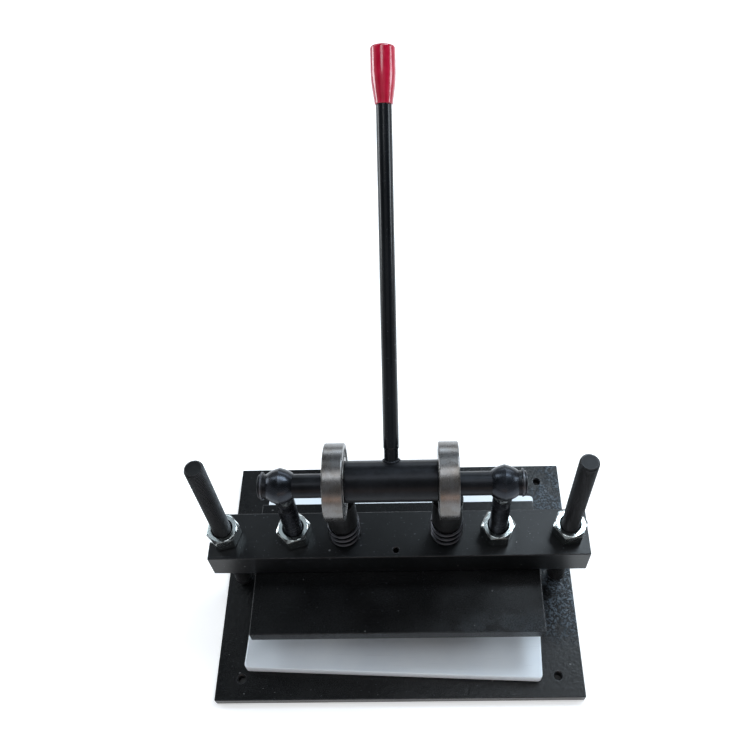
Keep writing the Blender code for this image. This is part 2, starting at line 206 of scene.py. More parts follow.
def paint(name, tone, peel, rough, dust, worn, scuffs=0.25, shine=0.3, grit_and_sheen=None, worn_and_lit=None):
    """Sprayed black paint: orange peel, dust, fine scratches and edges rubbed to grey.

    A grit region is an x range, y range, grain size and strength: there the paint is rough and grainy
    and carries a painted blue-grey sheen, the light's reflection. The bare range is the x range over which
    the rubbed edges grow stronger, partly real wear and partly a painted edge highlight.
    """
    g = Graph(name)
    place = g.add("ShaderNodeSeparateXYZ")
    g.put(place.inputs[0], g.where)
    cloud = g.noise(14, 5, 0.6)
    grain = g.noise(1500, 2)
    base = g.mix(g.spread(cloud, 0.3, 0.7), times(tone, 0.75), times(tone, 1.35))
    specks = g.math("MULTIPLY", g.spread(g.noise(620, 2, 0.4), 0.7, 0.76), dust)
    base = g.mix(specks, base, DUST_GREY)
    flecks = g.spread(g.noise(230, 1, 0.3), 0.792, 0.805)
    base = g.mix(g.math("MULTIPLY", flecks, dust), base, FLECK_WHITE)
    peel_height = g.noise(330, 3, 0.55)
    # grit region: rough grain in the paint, and a painted blue-grey sheen standing in for the light's
    # reflection
    if grit_and_sheen:
        across, along, size, strength = grit_and_sheen
        region = g.math("MULTIPLY", g.spread(place.outputs[0], *across), g.spread(place.outputs[1], *along))
        patches = g.math("MULTIPLY", region, g.spread(g.noise(55, 3, 0.6), 0.36, 0.58))
        grainy_sheen = g.math("MULTIPLY", patches, g.spread(g.noise(size, 3, 0.6), 0.44, 0.56))
        base = g.mix(g.math("MULTIPLY", grainy_sheen, strength), base, GRIT_SHEEN_GREY)
        peel_height = g.math("ADD", peel_height, g.math("MULTIPLY", grainy_sheen, 1.6))
    stretched = g.scaled(g.where, (35, 1100, 900))
    scratch = g.math("MULTIPLY", g.spread(g.noise(1, 3, 0.6, stretched), 0.66, 0.74), scuffs)
    rubbed = g.math("MULTIPLY", g.edge(1.1 * MM), g.spread(g.noise(160, 4, 0.7), 0.35, 0.62, 0.15, worn))
    # towards the bare range's upper end the rubbed edges grow stronger: real wear, and a painted edge
    # highlight where the light falls
    if worn_and_lit:
        rubbed = g.math("MULTIPLY", rubbed, g.spread(place.outputs[0], *worn_and_lit, 1.0, 2.2))
    base = g.mix(scratch, base, SCRATCH_GREY)
    base = g.mix(rubbed, base, RUBBED_PAINT)
    roughness = g.spread(g.math("ADD", g.math("MULTIPLY", cloud, 0.6), g.math("MULTIPLY", grain, 0.4)),
                         0.3, 0.7, *rough)
    normal = g.bump(peel_height, peel)
    g.set(Base_Color=base, Roughness=roughness, Metallic=g.math("MULTIPLY", rubbed, 0.8),
          Normal=g.bump(grain, peel * 0.25, normal))
    g.set(Specular_IOR_Level=shine)
    return g


def oxide(name, tone, rough, metal, lines, worn):
    """Black-oxide steel with machining lines and edges rubbed bright."""
    g = Graph(name)
    cloud = g.noise(45, 5, 0.6)
    base = g.mix(g.spread(cloud, 0.3, 0.7), times(tone, 0.7), times(tone, 1.5))
    turned = g.rings(1900)
    rubbed = g.math("MULTIPLY", g.edge(0.6 * MM), g.spread(g.noise(240, 4, 0.7), 0.3, 0.62, 0.2, worn))
    base = g.mix(rubbed, base, RUBBED_STEEL)
    roughness = g.spread(g.math("ADD", g.math("MULTIPLY", cloud, 0.55), g.math("MULTIPLY", turned, 0.45)),
                         0.3, 0.7, *rough)
    g.set(Base_Color=base, Roughness=roughness, Metallic=metal,
          Normal=g.bump(turned, lines, g.bump(g.noise(800, 3), 12 * MICRON)))
    return g


def steel(name, tone, tint, rough, lines=6 * MICRON, dents=8 * MICRON):
    """Bright ground or plated steel with faint stains."""
    g = Graph(name)
    cloud = g.noise(60, 5, 0.65)
    turned = g.rings(2600)
    base = g.mix(g.spread(cloud, 0.35, 0.68), tone, tint)
    roughness = g.spread(g.math("ADD", g.math("MULTIPLY", g.noise(220, 4, 0.6), 0.5),
                                g.math("MULTIPLY", turned, 0.5)), 0.3, 0.7, *rough)
    g.set(Base_Color=base, Roughness=roughness, Metallic=1.0,
          Normal=g.bump(turned, lines, g.bump(g.noise(420, 3), dents)))
    return g


def rubber(name):
    """Matte black seal with faint moulding rings."""
    g = Graph(name)
    base = g.mix(g.spread(g.noise(130, 4), 0.35, 0.7), (0.012, 0.012, 0.012), (0.03, 0.029, 0.028))
    g.set(Base_Color=base, Roughness=g.spread(g.noise(300, 3), 0.3, 0.7, 0.42, 0.62),
          Normal=g.bump(g.rings(1500), 10 * MICRON))
    return g


def red_plastic(name):
    """Glossy moulded grip with faint handling haze."""
    g = Graph(name)
    haze = g.noise(90, 4, 0.6)
    base = g.mix(g.spread(haze, 0.3, 0.7), (0.36, 0.002, 0.022), (0.46, 0.005, 0.036))
    g.set(Base_Color=base, Roughness=g.spread(haze, 0.3, 0.75, 0.13, 0.27),
          Normal=g.bump(g.noise(240, 2), 20 * MICRON))
    g.set(Coat_Weight=0.6, Coat_Roughness=0.06)
    return g


def white_plastic(name):
    """Cutting board: slightly blue-white, matte, with shallow knife lines."""
    g = Graph(name)
    lines = []
    for turn, scale in ((0.5, 24), (-0.9, 31), (1.9, 27)):
        node = g.add("ShaderNodeMapping")
        g.put(node.inputs["Vector"], g.where)
        node.inputs["Rotation"].default_value = (0, 0, turn)
        node.inputs["Scale"].default_value = (scale, 1500, 10)
        lines.append(g.spread(g.noise(1, 2, 0.5, node.outputs[0]), 0.68, 0.74))
    cuts = g.math("MAXIMUM", g.math("MAXIMUM", lines[0], lines[1]), lines[2])
    base = g.mix(g.spread(g.noise(26, 4), 0.3, 0.7), (0.76, 0.82, 0.88), (0.82, 0.87, 0.91))
    base = g.mix(g.math("MULTIPLY", cuts, 0.3), base, (0.60, 0.64, 0.70))
    g.set(Base_Color=base, Roughness=g.spread(g.noise(400, 3), 0.3, 0.7, 0.38, 0.55),
          Normal=g.bump(g.math("MULTIPLY", cuts, -1.0), 40 * MICRON, g.bump(g.noise(900, 2), 10 * MICRON)))
    return g


def make_materials():
    """Every material, by the short name that the pieces ask for."""
    made = {
        # the base's grit region along its right strip is rough grain and a painted sheen
        "base": paint("base_black_paint", PAINT_BLACK, 220 * MICRON, (0.22, 0.34), dust=0.2, worn=0.45,
                      shine=0.22, grit_and_sheen=((0.128, 0.148), (-0.078, -0.05), 480, 1.0)),
        "beam": paint("beam_black_paint", (0.003, 0.0036, 0.0044), 40 * MICRON, (0.3, 0.44), dust=0.25,
                      worn=0.4, shine=0.28),
        # the platen's grit region at its front-right corner is rough grain and a painted sheen
        "platen": paint("platen_black_paint", PAINT_BLACK, 50 * MICRON, (0.22, 0.32), dust=0.1, worn=0.45,
                        scuffs=0.12, shine=0.2, grit_and_sheen=((0.01, 0.13), (-0.054, -0.076), 1100, 0.35),
                        # stronger rubbed edges at the right end: wear, and a painted edge highlight
                        worn_and_lit=(0.105, 0.125)),
        "lever": paint("lever_gloss_black", (0.004, 0.005, 0.0065), 40 * MICRON, (0.14, 0.26), dust=0.2,
                       worn=0.3, scuffs=0.12),
        "rod": oxide("thread_black_oxide", (0.011, 0.0112, 0.012), (0.36, 0.52), 0.8, 10 * MICRON, 0.2),
        "eye": oxide("eye_black_oxide", (0.024, 0.027, 0.033), (0.2, 0.32), 0.85, 3 * MICRON, 0.1),
        "shaft": oxide("shaft_black_oxide", (0.011, 0.012, 0.0145), (0.3, 0.44), 0.8, 10 * MICRON, 0.4),
        "journal": oxide("journal_black_oxide", (0.016, 0.017, 0.02), (0.14, 0.24), 0.85, 4 * MICRON, 0.3),
        "spring": oxide("spring_steel", (0.045, 0.045, 0.05), (0.26, 0.4), 0.9, 2 * MICRON, 0.25),
        "clip": oxide("clip_phosphate", (0.06, 0.062, 0.07), (0.3, 0.46), 0.9, 2 * MICRON, 0.5),
        "zinc": steel("zinc_plate", (0.46, 0.50, 0.50), (0.60, 0.63, 0.61), (0.11, 0.2),
                      2 * MICRON, 4 * MICRON),
        "bright": steel("bare_steel", (0.55, 0.56, 0.58), (0.40, 0.39, 0.38), (0.25, 0.42)),
        "bearing": steel("bearing_steel", (0.18, 0.177, 0.177), (0.14, 0.128, 0.118), (0.25, 0.31),
                         1.5 * MICRON, 1.5 * MICRON),
        "cage": steel("cage_steel", (0.42, 0.40, 0.37), (0.34, 0.31, 0.28), (0.3, 0.45)),
        "rubber": rubber("seal_rubber"),
        "red": red_plastic("knob_red_plastic"),
        "board": white_plastic("board_white_plastic"),
    }
    return {key: graph.material for key, graph in made.items()}


MATERIALS = make_materials()


# ---- mesh helpers -----------------------------------------------------------
def solid(verts, faces):
    """A clean mesh with outward normals from vertices and faces."""
    bm = bmesh.new()
    points = [bm.verts.new(v) for v in verts]
    for face in faces:
        bm.faces.new([points[i] for i in face])
    bmesh.ops.remove_doubles(bm, verts=bm.verts, dist=1e-7)
    bmesh.ops.dissolve_degenerate(bm, dist=1e-7, edges=bm.edges)
    bmesh.ops.recalc_face_normals(bm, faces=bm.faces)
    mesh = bpy.data.meshes.new("solid")
    bm.to_mesh(mesh)
    bm.free()
    return mesh


def joined(*meshes):
    """One mesh holding several closed shells."""
    bm = bmesh.new()
    for mesh in meshes:
        bm.from_mesh(mesh)
    result = bpy.data.meshes.new("joined")
    bm.to_mesh(result)
    bm.free()
    return result


def softened(points, size, count=3, closed=False):
    """Round a profile's corners. A point may carry its own size as a third number."""
    result = []
    for i, point in enumerate(points):
        ends = not closed and i in (0, len(points) - 1)
        own = point[2] if len(point) > 2 else size
        here = Vector(point[:2])
        if ends or own == 0:
            result.append(tuple(here))
            continue
        before = Vector(points[i - 1][:2]) - here
        after = Vector(points[(i + 1) % len(points)][:2]) - here
        reach = min(own, 0.45 * before.length, 0.45 * after.length)
        start, end = here + before.normalized() * reach, here + after.normalized() * reach
        for step in range(count + 1):
            t = step / count
            result.append(tuple((1 - t) ** 2 * start + 2 * t * (1 - t) * here + t * t * end))
    return result


def lathe(profile, steps=64, closed=False):
    """Turn (radius, height) points about the Z axis."""
    verts, faces, rows = [], [], []
    for radius, height in profile:
        if radius < 1e-7:
            rows.append([len(verts)])
            verts.append((0, 0, height))
            continue
        rows.append(range(len(verts), len(verts) + steps))
        for i in range(steps):
            angle = 2 * math.pi * i / steps
            verts.append((radius * math.cos(angle), radius * math.sin(angle), height))
    pairs = list(zip(rows, rows[1:]))
    if closed:
        pairs.append((rows[-1], rows[0]))
    for a, b in pairs:
        for i in range(steps):
            j = (i + 1) % steps
            if len(a) == 1 and len(b) > 1:
                faces.append((a[0], b[i], b[j]))
            elif len(b) == 1 and len(a) > 1:
                faces.append((a[i], a[j], b[0]))
            elif len(a) > 1:
                faces.append((a[i], a[j], b[j], b[i]))
    return solid(verts, faces)


def threaded(low, high, steps=36, chamfer=1.5 * MM):
    """A threaded rod about the Z axis with chamfered ends."""
    root_r = THREAD_R - THREAD_DEPTH
    phases = ((0.0, THREAD_R), (0.14, THREAD_R), (0.43, root_r), (0.71, root_r))
    count = 4 * (math.ceil((high - low) / PITCH) + 2)
    last = count - 5
    verts, faces = [], []
    for n in range(count):
        phase, radius = phases[n % 4]
        for i in range(steps):
            z = low + (n // 4 + phase + i / steps - 1) * PITCH
            z = min(max(z, low), high)
            r = min(radius, THREAD_R - chamfer + min(high - z, z - low))
            angle = 2 * math.pi * i / steps
            verts.append((r * math.cos(angle), r * math.sin(angle), z))
    for n in range(last):
        for i in range(steps):
            j, lift = (i + 1) % steps, 4 if i + 1 == steps else 0
            faces.append((n * steps + i, (n + lift) * steps + j,
                          (n + 1 + lift) * steps + j, (n + 1) * steps + i))
    for row, z in ((0, low), (last, high)):
        verts.append((0, 0, z))
        for i in range(steps):
            faces.append((row * steps + i, row * steps + (i + 1) % steps, len(verts) - 1))
    return solid(verts, faces)


def slab(size, corner, sides=5):
    """An upright block with rounded vertical corners, centred on the origin."""
    half_x, half_y, half_z = size[0] / 2, size[1] / 2, size[2] / 2
    ring = []
    for quarter, (sx, sy) in enumerate(((1, 1), (-1, 1), (-1, -1), (1, -1))):
        for i in range(sides + 1):
            angle = math.pi / 2 * (quarter + i / sides)
            ring.append((sx * (half_x - corner) + corner * math.cos(angle),
                         sy * (half_y - corner) + corner * math.sin(angle)))
    n = len(ring)
    verts = [(x, y, -half_z) for x, y in ring] + [(x, y, half_z) for x, y in ring]
    faces = [tuple(range(n))[::-1], tuple(range(n, 2 * n))]
    faces += [(i, (i + 1) % n, n + (i + 1) % n, n + i) for i in range(n)]
    return solid(verts, faces)


def moved(mesh, *matrices):
    for matrix in matrices:
        mesh.transform(matrix)
    return mesh


def carved(mesh, cutters, bevel=0.0, segments=3, operation="DIFFERENCE"):
    """The mesh after Booleans with each cutter, and a bevel on its sharp edges."""
    scene = bpy.context.scene.collection
    made = [bpy.data.objects.new("carve", mesh)]
    made += [bpy.data.objects.new("cutter", cutter) for cutter in cutters]
    for obj in made:
        scene.objects.link(obj)
    for cutter in made[1:]:
        boolean = made[0].modifiers.new("cut", "BOOLEAN")
        boolean.operation = operation
        boolean.solver = "EXACT"
        boolean.object = cutter
    if bevel:
        edges = made[0].modifiers.new("bevel", "BEVEL")
        edges.width = bevel
        edges.segments = segments
        edges.limit_method = "ANGLE"
        edges.angle_limit = math.radians(28)
        edges.use_clamp_overlap = True
    bpy.context.view_layer.update()
    graph = bpy.context.evaluated_depsgraph_get()
    result = bpy.data.meshes.new_from_object(made[0].evaluated_get(graph))
    for obj in made:
        bpy.data.objects.remove(obj, do_unlink=True)
    return result


def pin(radius, low, high, steps=48):
    """A plain round cutter about the Z axis."""
    return lathe([(0, high), (radius, high), (radius, low), (0, low)], steps)


def mark(mesh, index, test):
    """Give the faces whose centre and normal pass the test another of the piece's materials."""
    for face in mesh.polygons:
        if test(face.center, face.normal):
            face.material_index = index


def piece(name, mesh, body, nodes, materials, place=None, sharp=32):
    """Place a finished mesh in the frame, standing for CAD nodes and riding on their body."""
    local = mesh.attributes.new("local", "FLOAT_VECTOR", "POINT")
    local.data.foreach_set("vector", [x for v in mesh.vertices for x in v.co])
    if place is not None:
        mesh.transform(place)
    mesh.materials.clear()
    for key in materials.split():
        mesh.materials.append(MATERIALS[key])
    mesh.shade_smooth()
    mesh.set_sharp_from_angle(angle=math.radians(sharp))
    mesh.name = name
    obj = bpy.data.objects.new(name, mesh)
    bpy.context.scene.collection.objects.link(obj)
    weighted = obj.modifiers.new("weighted", "WEIGHTED_NORMAL")
    weighted.keep_sharp = True
    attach(obj, body)
    if nodes:
        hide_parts(*nodes.split())
    return obj


def at(x, y, z):
    return Matrix.Translation((x, y, z))


ALONG_X = Matrix.Rotation(math.pi / 2, 4, "Y")


# ---- base, board, beam and platen -------------------------------------------
def countersunk(radius, low, high, chamfer, steps=40):
    """A cutter for a through hole whose two rims are chamfered."""
    beyond = 1 * MM
    wide = radius + chamfer + beyond
    return lathe([(0, high + beyond), (wide, high + beyond), (radius, high - chamfer),
                  (radius, low + chamfer), (wide, low - beyond), (0, low - beyond)], steps)


def base_plate():
    size = Vector(BASE_HI) - Vector(BASE_LO)
    mesh = moved(slab(size, 1.2 * MM), at(0, 0, size.z / 2))
    mesh = carved(mesh, [], 0.7 * MM)
    cutters = []
    for x in (-HOLE_X, HOLE_X):
        for y in (-HOLE_Y, HOLE_Y):
            cutters.append(moved(countersunk(HOLE_R, 0, size.z, 0.9 * MM), at(x, y, 0)))
    for label, _ in SIDES:
        x = middle("column_" + label).x
        cutters.append(moved(countersunk(CLEAR_R, 0, size.z, 0.6 * MM), at(x, 0, 0)))
    mesh = carved(mesh, cutters)
    reach = HOLE_R + 1.1 * MM

    def rim(centre, normal):
        return abs(abs(centre.x) - HOLE_X) < reach and abs(abs(centre.y) - HOLE_Y) < reach \
            and 0.3 < normal.z < 0.95
    mark(mesh, 1, rim)
    piece("base_plate_finished", mesh, "base", "base_plate", "base bright", sharp=40)


def cutting_board():
    """The board is turned on the base, so its own size is worked out from its box."""
    axis = JOINTS["board_slide"]["axis"]
    turn = math.atan2(axis[0], -axis[1])
    lo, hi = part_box("cutting_board")
    wide, deep = hi[0] - lo[0], hi[1] - lo[1]
    c, s = math.cos(turn), abs(math.sin(turn))
    span = c * c - s * s
    size = ((wide * c - deep * s) / span, (deep * c - wide * s) / span, hi[2] - lo[2])
    mesh = carved(slab(size, 3.5 * MM, 8), [], 1.2 * MM, 4)
    place = Matrix.Translation(middle("cutting_board")) @ Matrix.Rotation(turn, 4, "Z")
    piece("cutting_board_finished", mesh, "board", "cutting_board", "board", place, 40)


def crossbeam():
    size = Vector(BEAM_HI) - Vector(BEAM_LO)
    mesh = carved(moved(slab(size, 0.9 * MM), Matrix.Translation(middle("crossbeam"))), [], 0.8 * MM)
    cutters = []
    for node in ("column", "eye_bolt", "guide_post"):
        for label, _ in SIDES:
            x = middle(node + "_" + label).x
            cutters.append(moved(countersunk(CLEAR_R, BEAM_LO[2], BEAM_HI[2], 0.6 * MM), at(x, 0, 0)))
    small = lathe(in_mm((0, 1), (4.3, 1), (2.5, -0.8), (2.5, -12), (0, -13.4)), 32)
    cutters.append(moved(small, at(0, SMALL_HOLE_Y, BEAM_HI[2])))
    mesh = carved(mesh, cutters)
    reach = 4 * MM
    mark(mesh, 1, lambda c, n: abs(c.x) < reach and abs(c.y - SMALL_HOLE_Y) < reach and 0.3 < n.z < 0.95)
    piece("crossbeam_finished", mesh, "beam", "crossbeam", "beam bright", sharp=40)


def platen():
    size = Vector(PLATEN_HI) - Vector(PLATEN_LO)
    mesh = carved(moved(slab(size, 0.9 * MM), Matrix.Translation(middle("platen"))), [], 0.7 * MM)
    cutters = []
    for label, _ in SIDES:
        x = middle("guide_post_" + label).x
        cutters.append(moved(countersunk(CLEAR_R, PLATEN_LO[2], PLATEN_HI[2], 0.5 * MM), at(x, 0, 0)))
    mesh = carved(mesh, cutters)
    piece("platen_finished", mesh, "platen", "platen", "platen", sharp=40)


# ---- threaded pieces --------------------------------------------------------
def columns():
    for label, _ in SIDES:
        name = "column_" + label
        lo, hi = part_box(name)
        spot = middle(name)
        mesh = threaded(lo[2], hi[2])
        piece(name + "_threaded", mesh, "base", name, "rod", at(spot.x, spot.y, 0), 28)


def hex_nut(name, turn):
    """Hexagon nut with chamfered, slightly blunted corners and a countersunk bore."""
    lo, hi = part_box(name)
    half = (hi[2] - lo[2]) / 2
    face_r, corner_r = NUT_FLATS / 2 * 0.95, NUT_FLATS / math.sqrt(3) - 0.25 * MM
    sink_r, bore_r = 9.7 * MM, THREAD_R + 0.25 * MM
    per_side = 12
    steps = 6 * per_side
    slope = math.tan(math.radians(28))

    def section(i):
        """The upper half's outline at one step round the nut, from the bore outwards."""
        angle = math.radians((i % per_side) * 60 / per_side - 30)
        outer = min(NUT_FLATS / 2 / math.cos(angle), corner_r)
        level = half - (outer - face_r) * slope
        return [(bore_r, half - (sink_r - bore_r)), (sink_r, half), (face_r - 0.25 * MM, half),
                (face_r + 0.2 * MM, half - 0.1 * MM), (outer - 0.12 * MM, level - 0.02 * MM),
                (outer, level - 0.16 * MM)]
    sections = [section(i) for i in range(steps)]
    levels = len(sections[0])
    rows = [(n, 1) for n in range(levels)] + [(n, -1) for n in reversed(range(levels))]
    verts, faces = [], []
    for n, sign in rows:
        for i in range(steps):
            angle = 2 * math.pi * i / steps - math.pi / 6
            r, z = sections[i][n]
            verts.append((r * math.cos(angle), r * math.sin(angle), sign * z))
    for n in range(len(rows)):
        m = (n + 1) % len(rows)
        for i in range(steps):
            j = (i + 1) % steps
            faces.append((n * steps + i, n * steps + j, m * steps + j, m * steps + i))
    place = Matrix.Translation(middle(name)) @ Matrix.Rotation(math.radians(turn), 4, "Z")
    piece(name + "_plated", solid(verts, faces), "beam", name, "zinc", place, 22)


def nuts():
    """The beam's six nuts, each turned as it was tightened, in degrees."""
    for label, column_turn, eye_turn in (("left", 44, 46), ("right", 36, 32)):
        hex_nut("beam_top_nut_" + label, column_turn)
        hex_nut("beam_under_nut_" + label, column_turn)
        hex_nut("eye_bolt_nut_" + label, eye_turn)


def eye_bolts():
    """Forged eye: a ball cut flat at two cheeks and bored for the shaft, on a tapered neck."""
    share = (1.0, 0.965, 0.93, 0.888, 0.838, 0.77, 0.69)
    shank_top = -33.2 * MM
    for label, _ in SIDES:
        name = "eye_bolt_" + label
        lo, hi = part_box(name)
        ball_r, half = hi[2] - SHAFT_Z, (hi[0] - lo[0]) / 2
        ring = [(0, half)] + [(ball_r * s, half * i / 6) for i, s in reversed(list(enumerate(share)))]
        ring += [(r, -x) for r, x in reversed(ring[:-1])]
        ring = moved(lathe(ring, 96), ALONG_X)
        neck = lathe(in_mm((0, 0), (12.6, -2), (12.2, -7), (11.0, -11.5), (9.6, -15), (8.7, -18.5),
                           (8.2, -22), (8.0, -25), (8.0, -33), (6.9, -34), (0, -34)), 72)
        cheeks = [moved(slab((30 * MM, 60 * MM, 60 * MM), 1 * MM), at(side * (half + 15 * MM), 0, 0))
                  for side in (-1, 1)]
        bore = moved(pin(10.05 * MM, -30 * MM, 30 * MM, 64), ALONG_X)
        ball = carved(ring, [neck], 0, 2, "UNION")
        ball = carved(ball, cheeks + [bore], 0.35 * MM, 2)
        shank = threaded(lo[2] - SHAFT_Z, shank_top)
        piece(name + "_forged", joined(ball, shank), "beam", name, "eye",
              at(middle(name).x, 0, SHAFT_Z), 30)


# ---- guide posts and springs ------------------------------------------------
def guide_posts():
    """Turned posts: a tall round head over a shank that ends in the platen."""
    for label, _ in SIDES:
        name = "guide_post_" + label
        lo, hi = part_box(name)
        head_r = (hi[0] - lo[0]) / 2
        head_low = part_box("return_spring_" + label)[1][2] + 0.3 * MM
        profile = [(0, hi[2]), (head_r, hi[2], 1.3 * MM), (head_r, head_low, 0.5 * MM),
                   (THREAD_R, head_low, 0.8 * MM), (THREAD_R, lo[2] + 1 * MM),
                   (THREAD_R - 1 * MM, lo[2]), (0, lo[2])]
        piece(name + "_turned", lathe(softened(profile, 0.3 * MM), 64), "platen", name, "rod",
              at(middle(name).x, 0, 0))


def coil(mean_r, wire_r, low, high, turns=3.5, per_turn=40, sides=14):
    """Compression spring along Z: close end turns ground flat, open turns between."""
    count = round(turns * per_turn)
    rise = high - low - 2 * wire_r
    closed_turns, closed_rise = 0.4, 0.6 * wire_r
    verts, faces = [], []
    for n in range(count + 1):
        turn = n / per_turn
        if turn < closed_turns:
            height = closed_rise * turn / closed_turns
        elif turn > turns - closed_turns:
            height = rise - closed_rise * (turns - turn) / closed_turns
        else:
            share = (turn - closed_turns) / (turns - 2 * closed_turns)
            height = closed_rise + (rise - 2 * closed_rise) * share
        angle = 2 * math.pi * turn
        for k in range(sides):
            around = 2 * math.pi * k / sides
            r = mean_r + wire_r * math.cos(around)
            z = low + wire_r + height + wire_r * math.sin(around)
            verts.append((r * math.cos(angle), r * math.sin(angle), min(max(z, low), high)))
    for n in range(count):
        for k in range(sides):
            j = (k + 1) % sides
            faces.append((n * sides + k, n * sides + j, (n + 1) * sides + j, (n + 1) * sides + k))
    faces.append(tuple(range(sides)))
    faces.append(tuple(range(count * sides, (count + 1) * sides)))
    return solid(verts, faces)


def springs():
    """The coils stand on the beam, each with a mesh of its own."""
    for label, _ in SIDES:
        name = "return_spring_" + label
        lo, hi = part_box(name)
        x, height = middle(name).x, hi[2] - lo[2]
        mesh = coil((hi[0] - lo[0]) / 2 - WIRE_R, WIRE_R, lo[2], hi[2])
        obj = piece(name + "_coil", mesh, "beam", name, "spring", at(x, 0, 0), 50)
        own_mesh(obj)


# ---- eccentric shaft, rings and bearings ------------------------------------
def eccentric_shaft():
    """The thick middle and its journals lie on the crank axis, the two thin ends on the shaft's axis."""
    thick_r, journal_r, thin_r, groove_r, groove = 16.75 * MM, 14.6 * MM, 9.75 * MM, 8.8 * MM, 0.85 * MM
    shoulder, journal_end = BEARING_X - 8.3 * MM, BEARING_X + 8.7 * MM
    half = [(0, journal_end), (journal_r, journal_end, 0.9 * MM), (journal_r, shoulder, 0),
            (thick_r, shoulder, 0.8 * MM)]
    half += [(p[0], -p[1], *p[2:]) for p in reversed(half)]
    middle_part = moved(lathe(softened(half, 0.8 * MM), 80), ALONG_X, at(0, 0, CRANK_Z - SHAFT_Z))
    end, root = SHAFT_END_X, journal_end - 0.4 * MM
    ring_x = middle("retaining_ring_right").x
    thin = [(0, end - 4.5 * MM, 0), (1.3 * MM, end - 3.2 * MM, 0), (3.1 * MM, end, 0.2 * MM),
            (thin_r, end, 1.0 * MM), (thin_r, ring_x + groove, 0), (groove_r, ring_x + groove, 0),
            (groove_r, ring_x - groove, 0), (thin_r, ring_x - groove, 0), (thin_r, root, 0), (0, root)]
    right_end = moved(lathe(softened(thin, 0.3 * MM), 64), ALONG_X)
    left_end = moved(right_end.copy(), Matrix.Rotation(math.pi, 4, "Z"))
    mesh = joined(middle_part, right_end, left_end)
    reach = 4 * MM
    mark(mesh, 2, lambda c, n: abs(c.x) > journal_end)
    mark(mesh, 1, lambda c, n: abs(c.x) > end - reach and abs(n.x) > 0.2 and c.y ** 2 + c.z ** 2 < reach ** 2)
    piece("eccentric_shaft_turned", mesh, "lever", "eccentric_shaft", "shaft bright journal",
          at(0, 0, SHAFT_Z))


def weld_bead():
    """Rippled fillet where the lever enters the shaft's thick middle."""
    path_r, shaft_r, bead_r = 6.2 * MM, 16.6 * MM, 1.2 * MM
    count, sides = 96, 12
    tilt = Matrix.Rotation(-LEVER_TILT, 3, "X")
    verts, faces = [], []
    for n in range(count):
        around = 2 * math.pi * n / count
        ripple = 1 + 0.1 * math.sin(19 * around) + 0.05 * math.sin(7 * around + 1)
        across = path_r * math.sin(around)
        height = math.sqrt(shaft_r ** 2 - across ** 2)
        centre = Vector((path_r * math.cos(around), across, height))
        outward = Vector((math.cos(around), math.sin(around), 0))
        for k in range(sides):
            angle = 2 * math.pi * k / sides
            verts.append(tilt @ (centre + bead_r * ripple * (outward * math.cos(angle) * 0.9
                                                             + Vector((0, 0, math.sin(angle))) * 1.15)))
    for n in range(count):
        m = (n + 1) % count
        for k in range(sides):
            j = (k + 1) % sides
            faces.append((n * sides + k, n * sides + j, m * sides + j, m * sides + k))
    piece("lever_weld_bead", solid(verts, faces), "lever", "", "shaft", at(0, 0, CRANK_Z), 60)


def clip_blank(inner_r, outer_r, half, gap, count=60):
    """A flat open ring: wide at the top, thinner towards its two lugs at the bottom."""
    outline = []
    for i in range(count + 1):
        angle = -math.pi / 2 + gap + (2 * math.pi - 2 * gap) * i / count
        width = (outer_r - inner_r) * (0.62 + 0.38 * (0.5 + 0.5 * math.sin(angle)))
        near = min(i, count - i)
        lug = max(0.0, 1 - near / 4) ** 0.5
        outline.append((angle, inner_r + width + (outer_r - inner_r - width) * min(1, lug * 1.2)))
    ring = [(r * math.cos(a), r * math.sin(a)) for a, r in outline]
    ring += [(inner_r * math.cos(a), inner_r * math.sin(a)) for a, _ in reversed(outline)]
    n = len(ring)
    verts = [(x, y, -half) for x, y in ring] + [(x, y, half) for x, y in ring]
    faces = []
    for i in range(count):
        j = n - 1 - i
        faces += [(i, i + 1, j - 1, j), (n + i, n + j, n + j - 1, n + i + 1)]
    faces += [(i, (i + 1) % n, n + (i + 1) % n, n + i) for i in range(n)]
    return solid(verts, faces)


def retaining_rings():
    """Circlips with a small hole in each lug."""
    inner_r, gap = 9.0 * MM, math.radians(20)
    upright = Matrix(((0, 0, 1, 0), (1, 0, 0, 0), (0, 1, 0, 0), (0, 0, 0, 1)))
    for label, _ in SIDES:
        name = "retaining_ring_" + label
        lo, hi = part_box(name)
        half, outer_r = (hi[0] - lo[0]) / 2, hi[2] - SHAFT_Z
        spot_r = (inner_r + outer_r) / 2
        holes = []
        for side in (-1, 1):
            angle = -math.pi / 2 + side * (gap + 0.09)
            holes.append(moved(pin(0.7 * MM, -3 * MM, 3 * MM, 20),
                               at(spot_r * math.cos(angle), spot_r * math.sin(angle), 0)))
        mesh = carved(clip_blank(inner_r, outer_r, half, gap), holes, 0.15 * MM, 2)
        piece(name + "_clip", mesh, "lever", name, "clip",
              at(middle(name).x, 0, SHAFT_Z) @ upright, 30)


